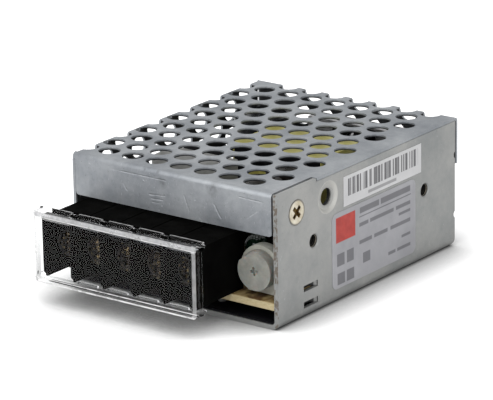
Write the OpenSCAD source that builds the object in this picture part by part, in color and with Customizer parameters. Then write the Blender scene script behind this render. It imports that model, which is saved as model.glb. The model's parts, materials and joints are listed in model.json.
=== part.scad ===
// Mesh case switching power supply: a folded steel chassis and a perforated cover
// around a circuit board, with a five-way screw terminal block under a clear flip cover.
// Modules place things with y measured back from the case's front face.

/* [Case] */
// Height of the case
case_h = 28; // [27.5:0.5:34]
// Thickness of the chassis sheet
chassis_t = 1; // [0.8:0.1:1.1]
// Thickness of the cover sheet
cover_t = 0.6; // [0.5:0.1:0.8]
// Clearance between cover and chassis sheets
sheet_gap = 0.1; // [0.05:0.05:0.2]
// Outer radius of the cover's bends
cover_bend_r = 0.9; // [0.8:0.05:1.2]
// Outer radius of the chassis bends
chassis_bend_r = 1.8; // [1.5:0.1:2]
// Slit left between two folds where they meet at a corner
corner_relief = 0.4; // [0.3:0.1:0.8]
// How far the chassis stops short of the cover's rear face
wall_short = 1; // [0.8:0.1:1.2]
// Gap between the board and the cover's rear wall
board_back = 1.6; // [1.4:0.1:2]
// Height of the rear wall's ear beside the chassis wall, from the top
ear_h = 10; // [8:0.5:12]
// Slit between the flap and the cover's left wall
flap_slit = 0.15; // [0.1:0.05:0.3]

/* [Cover] */
// Height of the front flap, measured down from the top
flap_h = 8.8; // [7:0.2:9.4]
// Gap between the flap's right end and the chassis wall
flap_side_gap = 0.4; // [0.3:0.1:0.8]
// Radius of the flap's lower corners
flap_corner_r = 0.7; // [0.4:0.1:1.2]
// Gap under the cover's left and rear walls
skirt_z = 0.4; // [0.2:0.1:1]
// Length of the fastening tab folded down inside the chassis wall
tab_l = 10.5; // [9:0.5:11]
// Depth of the fastening tab below the top
tab_h = 8.6; // [8:0.2:10]
// Length of the notch behind the fastening tab
tab_notch = 1.6; // [1:0.1:2]

/* [Perforation] */
// Diameter of the vent holes
vent_d = 4.6; // [3.5:0.1:4.8]
// Distance between neighbouring vent holes
vent_pitch = 6.1; // [5.6:0.1:7]
// First row of vent holes, behind the front face
vent_row0 = 5; // [4.6:0.1:6]
// First hole of a full row, from the left side
vent_col0 = 5.75; // [5.4:0.05:6.2]
// Plain margin beside the last hole on the right
vent_right = 3.5; // [3:0.1:6]
// Plain margin at the left of the rear rows
vent_rear_left = 6; // [5:0.5:9]
// How far the bending draws the holes across a fold onto the top
vent_draw = 0.7; // [0:0.1:0.8]
// Plain margin under the vents of the left and rear walls
vent_low = 3.2; // [3:0.2:6]

/* [Side fasteners] */
// First threaded mounting hole, behind the front face
mount_y = 12.2; // [12:0.1:14]
// Distance between the two threaded mounting holes
mount_pitch = 39.1; // [36:0.1:40]
// Height of the side mounting holes above the base
mount_z = 15.3; // [14:0.1:17]
// Diameter of a threaded mounting hole, between the threads
mount_d = 2.5; // [2.4:0.1:2.6]
// Wall left around a threaded hole
collar_wall = 0.95; // [0.7:0.05:1.2]
// Length of the collar drawn inwards around a threaded hole
collar_l = 1.7; // [1.2:0.1:2]
// Cover screw, behind the front face
cover_screw_y = 6.5; // [6:0.1:7]
// Cover screw, below the top
cover_screw_drop = 5.2; // [4.8:0.1:5.6]
// Head diameter of the cover screw
cover_head_d = 5.2; // [5:0.1:5.6]
// Thread diameter of the cover screw
cover_screw_d = 3; // [2.5:0.1:3]
// Length of the cover screw
cover_screw_l = 4.5; // [3.5:0.5:6]
// Side clearance hole, behind the front face
side_hole_y = 17; // [16.6:0.1:18]
// Side clearance hole, below the top
side_hole_drop = 4.9; // [4.5:0.1:5.5]
// Diameter of the side clearance hole
side_hole_d = 3.6; // [3.2:0.1:4]
// Diameter of the pressed dimple around the side clearance hole
dimple_d = 6.6; // [5.8:0.1:7]
// Depth of the pressed dimple
dimple_depth = 0.5; // [0.3:0.1:0.6]

/* [Board] */
// Height of the board's underside above the base
board_z = 3.95; // [3.9:0.05:4.4]
// Thickness of the circuit board
board_t = 1.6; // [1.2:0.1:1.7]
// Gap between the board and the walls beside it
board_gap = 0.2; // [0.1:0.1:0.5]
// Diameter of the component leads
lead_d = 0.7; // [0.6:0.05:0.8]
// Clearance round a lead in its hole
lead_clear = 0.08; // [0.05:0.01:0.15]
// Thickness of the insulating film under the board
film_t = 0.25; // [0.2:0.05:0.4]
// Length of the lanced tongues that hold the board's edge
lance_l = 4.8; // [4:0.2:5.4]
// Height of a lanced tongue
lance_h = 1.3; // [1:0.1:1.4]
// Diameter of the board's standoffs
standoff_d = 5; // [4.5:0.1:5.5]

/* [Terminal block] */
// Distance between neighbouring terminals
term_pitch = 7.62; // [7.5:0.01:7.62]
// Gap from the case's left side to the block
term_left = 1.75; // [1.6:0.05:2]
// Height of the block above the board
term_h = 12.35; // [11.8:0.05:12.6]
// How far the barriers stand out in front of the case
term_out = 11.9; // [11.5:0.1:12.5]
// How far the block reaches back into the case
term_in = 4; // [3.5:0.1:4.5]
// Thickness of the barriers
barrier_t = 1.1; // [0.9:0.05:1.3]
// Thickness of the block's roof
roof_t = 1.6; // [1.2:0.1:1.8]
// How far the contacts sit behind the barrier edges
contact_depth = 5.6; // [5.4:0.1:5.8]
// Thickness of a contact plate
contact_t = 0.8; // [0.6:0.1:1]
// Clearance beside a contact plate in its slot
contact_side = 0.1; // [0.05:0.05:0.2]
// Height of the screws above the board
term_screw_z = 6.4; // [6:0.1:6.8]
// Thread diameter of a terminal screw
term_screw_d = 3; // [2.8:0.1:3]
// Head diameter of a terminal screw
term_head_d = 5.2; // [4.8:0.1:5.2]
// Head height of a terminal screw
term_head_h = 2.1; // [1.8:0.1:2.3]
// Length of a terminal screw below its head
term_screw_l = 7.6; // [6:0.2:8]
// Thickness of a clamp washer
washer_t = 0.8; // [0.6:0.1:1]
// Clearance beside a clamp washer in its slot
washer_side = 0.12; // [0.1:0.01:0.2]
// Running clearance of the screws in washer and contact
run_clear = 0.06; // [0.04:0.01:0.09]

/* [Terminal cover] */
// Thickness of the clear front plate
flip_t = 1; // [0.8:0.1:1.2]
// How far the clear plate reaches past the block at each end
flip_over = 1.3; // [1:0.1:1.4]
// Gap between the plate and the barriers
flip_gap = 0.1; // [0.1:0.05:0.3]
// Thickness of the upper lip
lip_t = 0.8; // [0.6:0.1:1]
// Depth of the lips behind the plate's front
lip_depth = 2.4; // [2.3:0.1:2.6]
// Radius of the round bead along the upper lip
bead_r = 0.8; // [0.7:0.05:0.9]
// Radius of the hinge pins inside the clips
flip_pin_r = 0.5; // [0.45:0.05:0.55]
// Running clearance of the hinge pins
flip_clear = 0.06; // [0.04:0.01:0.09]
// Gap between the block and the lower lip
foot_gap = 0.25; // [0.2:0.05:0.4]
// Thickness of the clear cover's end walls
end_t = 0.9; // [0.7:0.1:1]
// Width of the low tabs behind the plate
flip_tab_w = 5; // [4:0.1:5.2]

/* [Adjuster and light] */
// Diameter of the adjuster's knob
knob_d = 8; // [7:0.1:8.4]
// Thickness of the adjuster's knob
knob_t = 2.2; // [1.6:0.1:2.4]
// Diameter of the adjuster's body
trimmer_d = 9.6; // [9:0.1:9.8]
// Thickness of the adjuster's body
trimmer_t = 2.2; // [1.8:0.1:2.4]
// Gap between the block and the adjuster
trimmer_gap = 0.1; // [0.1:0.05:0.3]
// Room between the adjuster and the chassis wall
bay_spare = 0.8; // [0.6:0.1:6]
// Knob front, behind the front face
knob_y = 1; // [0.6:0.1:1.4]
// Height of the adjuster's axis above the board
trimmer_z = 5.3; // [5.1:0.1:5.6]
// Diameter of the indicator light
led_d = 5; // [4.6:0.1:5.2]
// Height of the light's body, rim to dome centre
led_l = 5; // [4:0.1:5.6]
// Height of the light's dome centre above the board
led_z = 7.65; // [7.2:0.05:8.4]

/* [Transformer] */
// Width of the transformer's core
core_w = 22; // [20:0.5:23]
// Depth of the transformer's core
core_d = 14; // [9:0.1:14.5]
// Height of the transformer's core
core_h = 15; // [14:0.5:15.5]
// How far the winding stands out of the core, front and back
winding_out = 1.25; // [1:0.05:1.4]
// Height of the transformer's base on the board
bobbin_base = 3; // [2:0.5:3.5]
// Thickness of the bobbin's walls
bobbin_t = 0.8; // [0.6:0.1:1]
// Thickness of the yellow tape
tape_t = 0.3; // [0.2:0.1:0.4]
// Room for the winding beside the core's middle leg
window = 4.2; // [3.8:0.1:4.6]
// Room between the output capacitors and the transformer
xfmr_front = 1.8; // [0.6:0.1:12]
// Room between the transformer and the power transistor
xfmr_back = 1.48; // [1:0.02:6]

/* [Capacitors] */
// Diameter of the input capacitor
bulk_d = 12.5; // [10:0.5:12.5]
// Height of the input capacitor
bulk_h = 18; // [15:0.5:19]
// Diameter of the output capacitors
output_d = 9; // [8:0.5:9.5]
// Height of the output capacitors
output_h = 17.5; // [15:0.5:19]
// Width of the mains filter capacitor
filter_w = 17; // [15:0.5:17.5]
// Depth of the mains filter capacitor
filter_d = 8; // [6:0.5:8.5]
// Height of the mains filter capacitor
filter_h = 17; // [14:0.5:18]

/* [Small parts] */
// Clearance between neighbouring parts on the board
part_gap = 0.5; // [0.4:0.05:0.6]
// Gap between the board and a part standing on it
foot_z = 0.3; // [0.2:0.1:0.5]
// Diameter of the fuse
fuse_d = 8.4; // [7:0.1:8.5]
// Height of the fuse
fuse_h = 7.7; // [6:0.1:8]
// Diameter of the disc parts
disc_d = 8.6; // [7:0.1:9]
// Thickness of the disc parts
disc_t = 3.6; // [3:0.1:4]
// Width of the line choke's core
choke_w = 9.6; // [9:0.1:10]
// Height of the line choke's core
choke_h = 14; // [12:0.5:15]
// Thickness of the line choke's core
choke_t = 4.4; // [4:0.1:4.6]
// Width of the core's bars
choke_bar = 2.6; // [2.2:0.1:2.8]
// Thickness of the choke's windings
coil_t = 1.6; // [1.2:0.1:1.7]
// Length of the bridge rectifier
bridge_w = 10.4; // [10:0.1:10.6]
// Height of the bridge rectifier
bridge_h = 10.4; // [9:0.1:12]
// Thickness of the bridge rectifier
bridge_t = 3.4; // [3:0.1:3.6]
// Height of the heat sinks
sink_h = 19; // [16:0.5:19.5]
// Thickness of the heat sinks
sink_t = 1.2; // [1:0.1:1.5]
// Depth of the rear heat sink's folded top
sink_fold = 4; // [3:0.1:4.4]
// Length of the output heat sink
out_sink_l = 16; // [14:0.5:17]
// Width of the power devices
device_w = 10; // [9.8:0.1:10.4]
// Thickness of the power devices
device_t = 4.4; // [4.2:0.1:4.6]
// Height of a power device's body
device_h = 9.4; // [9:0.1:10]
// Height of a power device's tab above its body
device_tab_h = 6.2; // [6:0.1:6.6]
// Thickness of a power device's tab
device_tab_t = 1.3; // [1.2:0.1:1.4]
// Diameter of the output choke
coil_d = 8.6; // [7.5:0.1:8.8]
// Height of the output choke
coil_h = 11; // [9:0.5:12]
// Width of the chips' bodies between their rows of legs
chip_w = 6.4; // [6:0.1:6.6]
// Distance between the rows of legs
chip_rows = 7.62; // [7.5:0.01:7.62]
// Length of the controller's body
chip_l = 9.6; // [9:0.1:9.8]
// Length of the optocoupler's body
opto_l = 4.6; // [4.4:0.1:4.8]
// Height of the chips' bodies
chip_h = 3.5; // [3:0.1:3.8]

/* [Labels] */
// Thickness of the labels
label_t = 0.08; // [0.06:0.01:0.12]
// Length of the narrow label
bar_label_l = 27.5; // [24:0.5:28]
// Height of the narrow label
bar_label_h = 6.2; // [5:0.1:6.4]
// Length of the large label
plate_label_l = 29.5; // [26:0.5:30]
// Corner radius of the large label
plate_label_r = 1.5; // [0.8:0.1:2]
// Narrow label, behind the front face
bar_label_y = 22.3; // [21:0.1:24]
// Narrow label, below the top
bar_label_drop = 2.2; // [1.8:0.1:2.6]
// Gap between the two labels
label_gap = 0.7; // [0.4:0.1:1]
// Large label, behind the front face
plate_label_y = 18.2; // [17:0.1:20]
// Height of the large label's lower edge above the base
plate_label_z = 3; // [2.4:0.1:3.2]

/* [Hidden] */
$fn = 48;

ways = 5;
// The case is as wide as the terminal block with the adjuster beside it
case_w = term_left + ways * term_pitch + trimmer_gap + trimmer_d + bay_spare + chassis_t;
// Along the board: chip and output capacitors, transformer, power transistor and heat sink
lead_r = lead_d / 2;
rows_end = term_in + chip_rows + 2 * lead_r + 2 * output_d + part_gap + 0.6;
winding_d = core_d + 2 * winding_out;
xfmr_y = rows_end + xfmr_front + winding_d / 2;
sink_y = xfmr_y + winding_d / 2 + xfmr_back + device_t + 0.6;
board_y1 = sink_y + sink_fold + 1.1;
case_l = board_y1 + board_back + cover_t;
// Case planes
left_x = -case_w / 2;
right_x = case_w / 2;
wall_x = right_x - chassis_t;
flange_x = left_x + cover_t + sheet_gap;
top_z = case_h - cover_t;
rear_in_y = case_l - wall_short;
edge_gap = 0.05;
cover_screw_z = case_h - cover_screw_drop;
side_hole_z = case_h - side_hole_drop;
// Cover outlines
flap_x0 = left_x + cover_t + flap_slit;
rear_x0 = left_x + 0.2;
flap_x1 = wall_x - flap_side_gap;
tab_y0 = cover_bend_r + corner_relief;
tab_y1 = tab_y0 + tab_l;
strip_y0 = tab_y1 + tab_notch;
tab_x = wall_x - sheet_gap;
vent_r = vent_d / 2;
vent_row = vent_pitch * sqrt(3) / 2;
// The holes are punched before folding, so a fold takes this much off the outside lengths
fold_loss = 2 * cover_bend_r - (cover_bend_r - cover_t / 2) * PI / 2;
// Board planes
board_x0 = left_x + cover_t + board_gap;
board_x1 = wall_x - board_gap;
board_y0 = 0.2;
board_top = board_z + board_t;
lead_hole_r = lead_r + lead_clear;
solder_h = 0.9;
flange_h = board_z - 0.05;
lance_y = 8.5;
lance_in = 1.3;
// Terminal block planes
block_x0 = left_x + term_left;
block_x1 = block_x0 + ways * term_pitch;
block_z = board_top;
block_top = block_z + term_h;
barrier_y = -term_out;
contact_y = barrier_y + contact_depth;
block_face_y = contact_y + contact_t;
screw_z = block_z + term_screw_z;
slot_w = term_pitch - 2 * barrier_t;
contact_w = slot_w - 2 * contact_side;
washer_w = slot_w - 2 * washer_side;
washer_lip = 0.5;
washer_h = term_head_d + 2 * (0.15 + washer_lip);
washer_gap = 0.1;
washer_y = contact_y - washer_gap - washer_t;
head_y = washer_y - 0.05;
pin_y = 2;
pin_w = 1;
pin_t = 0.6;
bar_z = block_z + 2.3;
function slot_x(i) = block_x0 + (i - 0.5) * term_pitch;
// Clear cover planes
flip_y1 = barrier_y - flip_gap;
flip_y0 = flip_y1 - flip_t;
hinge_y = flip_y0 + lip_depth;
hinge_z = block_top + edge_gap + bead_r;
flip_top = hinge_z + 0.15;
foot_t = 0.6;
flip_foot = block_z - foot_gap - foot_t;
clip_r = flip_pin_r + flip_clear + 0.35;
clip_w = 1.4;
// Adjuster and light
trimmer_x = block_x1 + trimmer_gap + trimmer_d / 2;
trimmer_axis_z = board_top + trimmer_z;
trimmer_y = knob_y + knob_t + 0.1;
led_pos = [block_x1 + 0.1, trimmer_y + trimmer_t + led_d / 2 + part_gap];
led_dome_z = board_top + led_z;
// Places of the mains parts, from the board's left edge and the terminal block
coil_r = choke_w / 2 + coil_t;
fuse_pos = [board_x0 + fuse_d / 2 + 1, term_in + fuse_d / 2 + 1.2];
thermistor_pos = [fuse_pos[0] + fuse_d / 2 + disc_d / 2 + 1.9, term_in + 6];
front_standoff = [flange_x + chassis_bend_r + standoff_d / 2 + 0.2,
    fuse_pos[1] + fuse_d / 2 + standoff_d / 2 + 0.7];
filter_pos = [board_x0 + filter_w / 2 + 3.7, front_standoff[1] + standoff_d / 2 + filter_d / 2 + 0.3];
choke_pos = [board_x0 + coil_r + 0.6, filter_pos[1] + filter_d / 2 + choke_t / 2 + coil_t + 0.9];
opto_pos = [choke_pos[0] + coil_r + chip_rows / 2 + 1.4, filter_pos[1] + filter_d / 2 + opto_l / 2 + 0.8];
bulk_pos = [board_x0 + bulk_d / 2 + 0.6, board_y1 - bulk_d / 2 - part_gap];
// Places of the transformer and the parts behind it, from the board's rear edge
xfmr_pos = [choke_pos[0] + coil_r + part_gap + tape_t + core_w / 2, xfmr_y];
rear_standoff = [board_x1 - standoff_d / 2 - 1.9, board_y1 - standoff_d / 2 - 2.8];
bridge_pos = [bulk_pos[0] + bulk_d / 2 + bridge_t / 2 + part_gap, board_y1 - bridge_w / 2 - 0.2];
sink_x0 = bridge_pos[0] + bridge_t / 2 + part_gap;
sink_x1 = rear_standoff[0] - standoff_d / 2 - part_gap;
sink_pos = [(sink_x0 + sink_x1) / 2, sink_y];
// Places of the output parts, from the board's right edge
chip_pos = [thermistor_pos[0] + disc_d / 2 + chip_l / 2 + 2.3, term_in + chip_rows / 2 + lead_r + 0.4];
coil_pos = [board_x1 - coil_d / 2 - 2.5, led_pos[1] + led_d / 2 + coil_d / 2 + 3.7];
output_x = coil_pos[0] - coil_d / 2 - output_d / 2 - 0.3;
output_y = chip_pos[1] + chip_rows / 2 + lead_r + output_d / 2 + 0.2;
output_pos = [[output_x, output_y], [output_x, output_y + output_d + part_gap]];
out_sink_pos = [board_x1 - 2.6, coil_pos[1] + coil_d / 2 + out_sink_l / 2 + 2.2];
safety_pos = [board_x1 - 6.2, out_sink_pos[1] + out_sink_l / 2 + disc_d / 2 + 0.8];
standoff_pos = [front_standoff, rear_standoff];
// Label planes
bar_label_z = case_h - bar_label_drop - bar_label_h;
plate_label_h = bar_label_z - label_gap - plate_label_z;
// Lead places
function pair_x(p, s) = [[p[0] - s / 2, p[1]], [p[0] + s / 2, p[1]]];
function pair_y(p, s) = [[p[0], p[1] - s / 2], [p[0], p[1] + s / 2]];
function four(p, sx, sy) = [for (i = [-1, 1], j = [-1, 1]) [p[0] + i * sx / 2, p[1] + j * sy / 2]];
function three_x(p, s) = [for (i = [-1:1]) [p[0] + i * s, p[1]]];
function three_y(p, s) = [for (i = [-1:1]) [p[0], p[1] + i * s]];
function four_rows(p) = [for (i = [-1.5:1.5], j = [-1, 1]) [p[0] + i * 2.54, p[1] + j * chip_rows / 2]];
function row_y(p, n, s) = [for (i = [0:n - 1]) [p[0], p[1] + (i - (n - 1) / 2) * s]];
fuse_leads = pair_x(fuse_pos, 5.08);
thermistor_leads = pair_x(thermistor_pos, 5);
filter_leads = pair_x(filter_pos, filter_w - 2);
choke_leads = four(choke_pos, choke_w - 1.6, choke_t + coil_t - 0.4);
bridge_leads = row_y(bridge_pos, 4, (bridge_w - 3) / 3);
bulk_leads = pair_x(bulk_pos, bulk_d / 2);
xfmr_leads = [for (i = [-2:2], j = [-1, 1]) [xfmr_pos[0] + i * 4, xfmr_pos[1] + j * (core_d / 2 - 0.3)]];
output_leads = [for (p = output_pos) each pair_x(p, output_d / 2)];
coil_leads = pair_y(coil_pos, 5);
transistor_leads = three_x([sink_pos[0], sink_pos[1] - 2.9], 2.54);
rectifier_leads = three_y([out_sink_pos[0] - 2.9, out_sink_pos[1]], 2.54);
safety_leads = pair_y(safety_pos, 7.5);
opto_leads = four(opto_pos, chip_rows, 2.54);
chip_leads = four_rows(chip_pos);
trimmer_leads = [for (i = [-1:1]) [trimmer_x + i * 2.5, trimmer_y + trimmer_t / 2]];
led_leads = pair_x(led_pos, 2.54);
pin_places = [for (i = [1:ways]) [slot_x(i), pin_y]];
small_leads = concat(fuse_leads, thermistor_leads, filter_leads, choke_leads, bridge_leads,
    bulk_leads, xfmr_leads, output_leads, coil_leads, transistor_leads, rectifier_leads,
    safety_leads, opto_leads, chip_leads, trimmer_leads, led_leads);

// Shared shapes
module from_front() translate([0, -case_l / 2, 0]) children();

module box(lo, hi) translate(lo) cube(hi - lo);

module rod_x(x0, x1, y, z, r) translate([x0, y, z]) rotate([0, 90, 0]) cylinder(r = r, h = x1 - x0);

module rod_y(x, y0, y1, z, r) translate([x, y0, z]) rotate([-90, 0, 0]) cylinder(r = r, h = y1 - y0);

module cone_x(x0, x1, y, z, r0, r1)
    translate([x0, y, z]) rotate([0, 90, 0]) cylinder(r1 = r0, r2 = r1, h = x1 - x0);

// Solid corner with its rounded corner at the origin, arms along +x and -y
module corner_area(a, b, r) {
    translate([r, -b]) square([a - r, b]);
    translate([0, -b]) square([a, b - r]);
    translate([r, -r]) circle(r = r);
}

// Section of a folded sheet
module fold(a, b, t, r) {
    difference() {
        corner_area(a, b, r);
        translate([t, -t]) corner_area(a + 1, b + 1, r - t);
    }
}

// Carries a section drawn in x and z along y, or one drawn in y and z along x
module along_y(y0, y1) translate([0, y1, 0]) rotate([90, 0, 0]) linear_extrude(y1 - y0) children();

module along_x(x0, x1) translate([x0, 0, 0]) rotate([90, 0, 90]) linear_extrude(x1 - x0) children();

module rounded_area(w, h, r) {
    translate([r, 0]) square([w - 2 * r, h]);
    translate([0, r]) square([w, h - 2 * r]);
    for (x = [r, w - r], y = [r, h - r]) translate([x, y]) circle(r = r);
}

module leads(places, z1) {
    for (p = places) translate([p[0], p[1], board_z]) cylinder(r = lead_r, h = z1 - board_z, $fn = 16);
}

module can(d, h) {
    // Sleeved can with a rolled groove near the foot and a shallow dished top
    difference() {
        cylinder(d = d, h = h);
        translate([0, 0, h - 0.4]) cylinder(d = d - 2.4, h = 1);
        translate([0, 0, 2]) difference() {
            cylinder(d = d + 2, h = 0.8);
            translate([0, 0, -1]) cylinder(d = d - 0.8, h = 3);
        }
    }
}

// Chassis: floor, right wall, low left and rear flanges
module chassis() {
    color([0.66, 0.67, 0.66]) from_front() difference() {
        union() {
            along_y(0, rear_in_y) translate([right_x, 0]) rotate(180)
                fold(right_x - flange_x - chassis_bend_r, case_h - edge_gap, chassis_t, chassis_bend_r);
            along_y(3, board_y1 - 3) translate([flange_x, 0]) mirror([0, 1])
                fold(chassis_bend_r + 1, flange_h, chassis_t, chassis_bend_r);
            along_y(0, rear_in_y) translate([flange_x + 0.6, 0]) square([chassis_bend_r + 1, chassis_t]);
            along_x(flange_x + 5, wall_x - 5) translate([rear_in_y, 0]) rotate(180)
                fold(chassis_bend_r + 1, flange_h, chassis_t, chassis_bend_r);
            for (y = [mount_y, mount_y + mount_pitch])
                rod_x(wall_x - collar_l, wall_x + 0.1, y, mount_z, mount_d / 2 + collar_wall);
            rod_x(wall_x - dimple_depth, wall_x + 0.1, side_hole_y, side_hole_z, dimple_d / 2 - 0.2);
            for (y = [mount_y, mount_y + mount_pitch])
                translate([0, y, 0.1]) cylinder(d = mount_d + 2 * collar_wall, h = chassis_t + collar_l - 0.3);
            for (z = lance_z) lance(z);
        }
        // Rear edge of the floor, behind the rear flange
        box([flange_x - 1, rear_in_y, -1], [wall_x - 0.3, case_l + 1, chassis_bend_r + 3]);
        for (y = [mount_y, mount_y + mount_pitch]) {
            rod_x(wall_x - collar_l - 1, right_x + 1, y, mount_z, mount_d / 2);
            cone_x(right_x - 0.35, right_x + 0.01, y, mount_z, mount_d / 2, mount_d / 2 + 0.37);
            translate([0, y, -1]) cylinder(d = mount_d, h = chassis_t + collar_l + 3);
        }
        rod_x(wall_x - 3, right_x + 1, side_hole_y, side_hole_z, side_hole_d / 2);
        cone_x(right_x - dimple_depth, right_x + 0.01, side_hole_y, side_hole_z,
            dimple_d / 2 - 0.7, dimple_d / 2);
        rod_x(wall_x - 1, right_x + 1, cover_screw_y, cover_screw_z, cover_screw_d / 2 + 0.2);
        cone_x(wall_x, right_x + 0.01, cover_screw_y, cover_screw_z,
            cover_screw_d / 2 + 0.2, cover_head_d / 2 + 0.12);
        // The wall stops under the cover's top behind the fastening tab
        box([wall_x - 1, strip_y0 - 0.3, top_z - edge_gap], [right_x + 1, case_l + 1, case_h + 1]);
        for (z = lance_z)
            difference() {
                box([wall_x - 0.5, lance_y, z], [right_x + 0.5, lance_y + lance_l, z + lance_h]);
                lance(z);
            }
        // Small nicks in the wall's rear edge
        for (z = [7, 20]) rod_x(wall_x - 1, right_x + 1, rear_in_y + 0.35, z, 0.8);
    }
}
lance_z = [board_top + edge_gap, board_z - 0.45 - lance_h];

// Tongue cut free of the wall on three sides and bent inwards to grip the board's edge
module lance(z) {
    translate([0, lance_y, z + 0.04]) linear_extrude(lance_h - 0.08) polygon([
        [right_x - 0.05, lance_l + 0.3], [wall_x + 0.05, lance_l + 0.3],
        [wall_x - lance_in, lance_l - 1.2], [wall_x - lance_in, 0.4],
        [wall_x - lance_in + 0.8, 0.1], [wall_x - lance_in + 0.8, lance_l - 1.1]]);
}

// Cover: perforated top, left and rear walls, front flap and fastening tab
module mesh_cover() {
    color([0.71, 0.73, 0.75]) from_front() {
        folded_cover();
        // The left wall runs forward beside the flap
        box([left_x, 0.1, skirt_z], [left_x + cover_t, tab_y0 + 0.1, case_h - cover_bend_r - 0.5]);
    }
}

module folded_cover() {
    difference() {
        union() {
            box([left_x + cover_bend_r, cover_bend_r, top_z],
                [flap_x1, case_l - cover_bend_r, case_h]);
            box([flap_x1 - 1, strip_y0, top_z], [right_x - edge_gap, case_l - cover_bend_r, case_h]);
            along_y(tab_y0, case_l - tab_y0) translate([left_x, case_h])
                fold(cover_bend_r + 1, case_h - skirt_z, cover_t, cover_bend_r);
            along_x(left_x + cover_bend_r, flap_x1) translate([0, case_h])
                fold(cover_bend_r + 1, flap_h, cover_t, cover_bend_r);
            along_x(flap_x0, left_x + cover_bend_r + 1) flap_end(flap_h);
            along_x(rear_x0, flap_x0 + 0.1) flap_end(cover_bend_r + 0.4);
            along_x(left_x + cover_bend_r, flap_x1) translate([case_l, case_h]) mirror([1, 0])
                fold(cover_bend_r + 1, case_h - skirt_z, cover_t, cover_bend_r);
            along_x(rear_x0, left_x + cover_bend_r + 1) translate([case_l, case_h]) mirror([1, 0])
                intersection() {
                    fold(cover_bend_r + 1, case_h - skirt_z, cover_t, cover_bend_r);
                    translate([-1, -case_h - 1]) square([1 + cover_bend_r, case_h + 2]);
                }
            along_x(flap_x1 - 0.1, right_x - edge_gap) translate([case_l, case_h]) mirror([1, 0])
                fold(cover_bend_r + 1, ear_h, cover_t, cover_bend_r);
            along_y(tab_y0, tab_y1) translate([tab_x, case_h]) mirror([1, 0])
                fold(cover_bend_r + 1, tab_h, cover_t, cover_bend_r);
            rod_x(tab_x - cover_t - 1.2, tab_x - 0.1, cover_screw_y, cover_screw_z,
                cover_screw_d / 2 + 0.5);
        }
        vents();
        rod_x(tab_x - 4, tab_x + 1, cover_screw_y, cover_screw_z, cover_screw_d / 2 - 0.25);
        for (x = [flap_x0, flap_x1]) flap_corner(x, x == flap_x0 ? 1 : -1);
    }
}

// Section of the flap's left end, down to h below the top
module flap_end(h) {
    translate([0, case_h]) intersection() {
        fold(cover_bend_r + 1, flap_h, cover_t, cover_bend_r);
        translate([-1, -h]) square([1 + cover_bend_r, h + 2]);
    }
}

// What is cut from the flap to round one lower corner
module flap_corner(x, side) {
    r = flap_corner_r;
    z = case_h - flap_h;
    difference() {
        box([x - (side > 0 ? 1 : r), -1, z - 1], [x + (side > 0 ? r : 1), cover_t + 1, z + r]);
        rod_y(x + side * r, -2, cover_t + 2, z + r, r);
    }
}

// Vent holes on a triangular grid that runs on over the left and rear folds
module vents() {
    rows = floor((case_l - vent_r - vent_row0) / vent_row);
    cols = floor((case_w - vent_right - vent_r - vent_col0) / vent_pitch + 0.001);
    for (j = [0:rows]) {
        y = vent_row0 + j * vent_row;
        shift = (j % 2) * vent_pitch / 2;
        across = case_w - vent_right - vent_r - vent_col0 + shift;
        for (i = [0:floor(across / vent_pitch + 0.001)])
            top_vent(left_x + vent_col0 - shift + i * vent_pitch, y);
        first = vent_col0 - shift;
        for (k = [1:ceil(case_h / vent_pitch)]) {
            u = first - k * vent_pitch;
            if (case_h + u - fold_loss - vent_r > vent_low && y + vent_r < case_l - tab_y0 - 0.5)
                left_vent(u, y);
        }
    }
    for (j = [rows + 1:rows + ceil(case_h / vent_row)]) {
        y = vent_row0 + j * vent_row;
        shift = (j % 2) * vent_pitch / 2;
        v = case_l - y;
        if (case_h + v - fold_loss - vent_r > vent_low)
            for (i = [0:cols + 1]) {
                x = left_x + vent_col0 - shift + i * vent_pitch;
                if (x > left_x + vent_rear_left && x < right_x - vent_right - vent_r + 0.1) rear_vent(x, v);
            }
    }
}

module top_vent(x, y) translate([x, y, case_h - cover_bend_r + 0.05]) cylinder(r = vent_r, h = 3);

// u and v are how far past the case's edge a hole's centre lies before folding, as a negative length
module left_vent(u, y) {
    rod_x(left_x - 1, left_x + cover_bend_r - 0.05, y, case_h + u - fold_loss, vent_r);
    if (-u < vent_r) top_vent(left_x + u + vent_draw, y);
}

module rear_vent(x, v) {
    rod_y(x, case_l - cover_bend_r + 0.05, case_l + 1, case_h + v - fold_loss, vent_r);
    if (-v < vent_r) top_vent(x, case_l - v - vent_draw);
}

// Black film between the floor and the board, curved up at the right wall
module insulation_film() {
    film_rise = board_z - chassis_t - 0.15;
    color([0.08, 0.08, 0.09]) from_front() difference() {
        along_y(0.6, rear_in_y - chassis_bend_r - 0.2) translate([wall_x - 0.15, chassis_t]) rotate(180)
            fold(wall_x - flange_x - chassis_t - 1.4, film_rise, film_t, film_rise * 0.4);
        for (y = [mount_y, mount_y + mount_pitch])
            translate([0, y, 0]) cylinder(d = mount_d + 2 * collar_wall + 0.6, h = 6);
        for (p = standoff_pos) translate([p[0], p[1], 0]) cylinder(d = standoff_d + 0.6, h = 6);
        box([wall_x - lance_in - 0.5, lance_y - 0.4, 0], [right_x, lance_y + lance_l + 0.5, 6]);
    }
}

// Board with its drilled lead holes
module circuit_board() {
    color([0.83, 0.75, 0.55]) from_front() difference() {
        box([board_x0, board_y0, board_z], [board_x1, board_y1, board_top]);
        for (p = small_leads) translate([p[0], p[1], board_z - 1])
            cylinder(r = lead_hole_r, h = board_t + 2, $fn = 16);
        for (p = pin_places) translate([p[0], p[1], board_z - 1]) cylinder(r = 0.72, h = board_t + 2, $fn = 20);
        for (p = standoff_pos) translate([p[0], p[1], board_z - 1]) cylinder(r = 1.6, h = board_t + 2);
    }
}

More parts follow.
